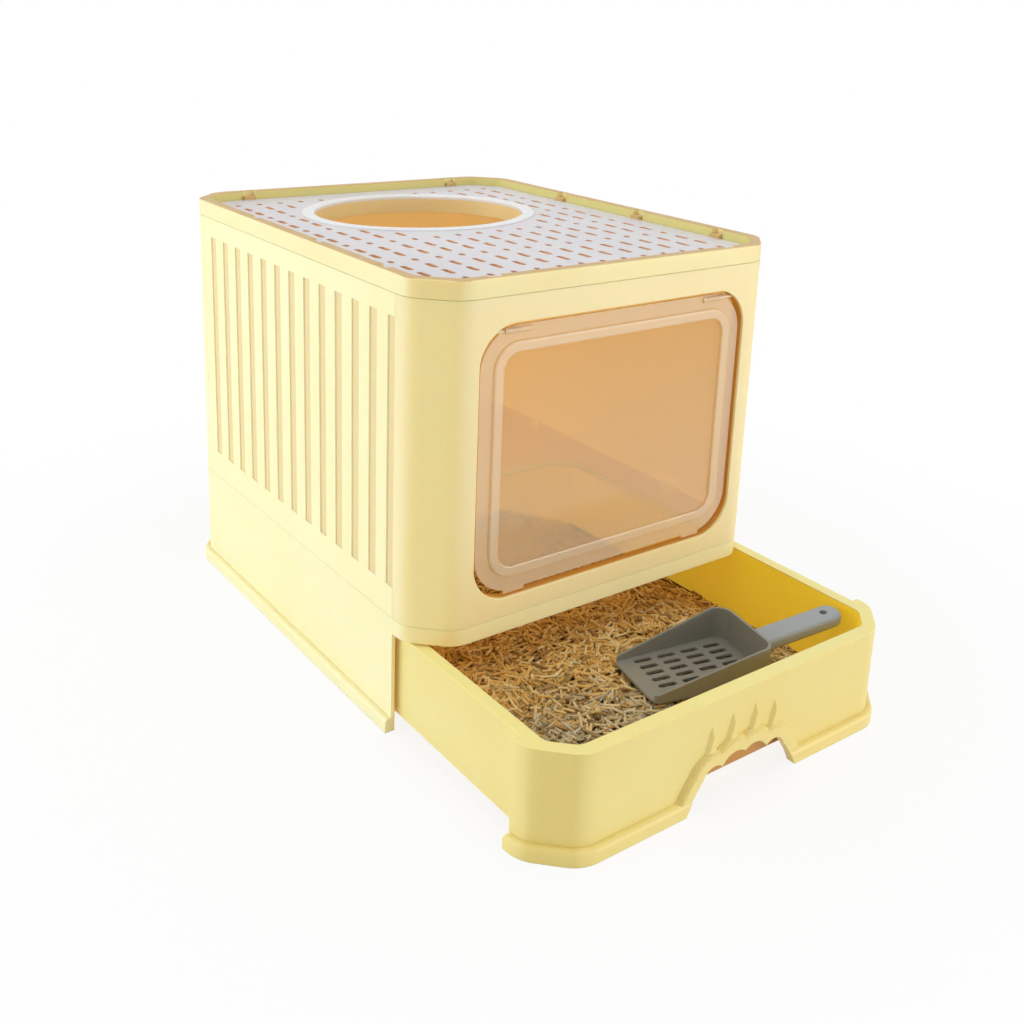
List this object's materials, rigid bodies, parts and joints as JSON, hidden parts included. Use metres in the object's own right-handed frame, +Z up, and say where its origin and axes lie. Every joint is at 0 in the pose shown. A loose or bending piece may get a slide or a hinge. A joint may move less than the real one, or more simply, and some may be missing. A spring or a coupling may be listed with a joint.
{
  "type": "covered litter box",
  "caption": "Faceted covered litter box with a clear swing door, a slotted top entry panel, grooved side walls and a pull-out litter tray with a scoop.",
  "frame": {"origin": "on the floor, middle of the box round the object with its tray pulled part way out", "axes": "+Z up, -Y towards the door and drawer front, +X to the right seen from the front"},
  "size_m": [0.412, 0.674, 0.41],
  "materials": {
    "housing_plastic": "satin moulded pale yellow",
    "rim_plastic": "satin moulded pale yellow",
    "drawer_plastic": "satin moulded yellow",
    "runner_plastic": "satin moulded yellow",
    "clip_plastic": "satin moulded yellow",
    "pin_plastic": "smooth",
    "sieve_plastic": "smooth white",
    "collar_plastic": "smooth white",
    "flap_plastic": "clear, polished",
    "litter_pellets": "dry pressed pellets",
    "scoop_plastic": "smooth grey"
  },
  "bodies": {
    "housing": {"base_frame": "housing_plastic", "left_runner": "runner_plastic", "right_runner": "runner_plastic", "base_clips": "clip_plastic", "top_clips": "clip_plastic", "front_panel": "housing_plastic", "back_panel": "housing_plastic", "left_panel": "housing_plastic", "right_panel": "housing_plastic", "top_frame": "rim_plastic", "left_flap_pin": "pin_plastic", "right_flap_pin": "pin_plastic", "left_flap_bracket": "clip_plastic", "right_flap_bracket": "clip_plastic"},
    "drawer": {"drawer_tray": "drawer_plastic", "litter_bed": "litter_pellets"},
    "flap": {"flap_door": "flap_plastic"},
    "lid": {"sieve_lid": "sieve_plastic", "entry_collar": "collar_plastic"},
    "scoop": {"scoop": "scoop_plastic"}
  },
  "joints": [
    {"name": "drawer_slide", "type": "slide", "parent": "housing", "child": "drawer", "axis": [0, -1, 0], "range_m": [-0.174, 0.2]},
    {"name": "flap_swing", "type": "hinge", "parent": "housing", "child": "flap", "pos_m": [0, -0.152, 0.364], "axis": [1, 0, 0], "range_deg": [-85, 85]},
    {"name": "lid_lift", "type": "slide", "parent": "housing", "child": "lid", "axis": [0, 0, 1], "range_m": [0, 0.15]},
    {"name": "scoop_lift", "type": "slide", "parent": "drawer", "child": "scoop", "axis": [0, 0, 1], "range_m": [0, 0.2]}
  ]
}
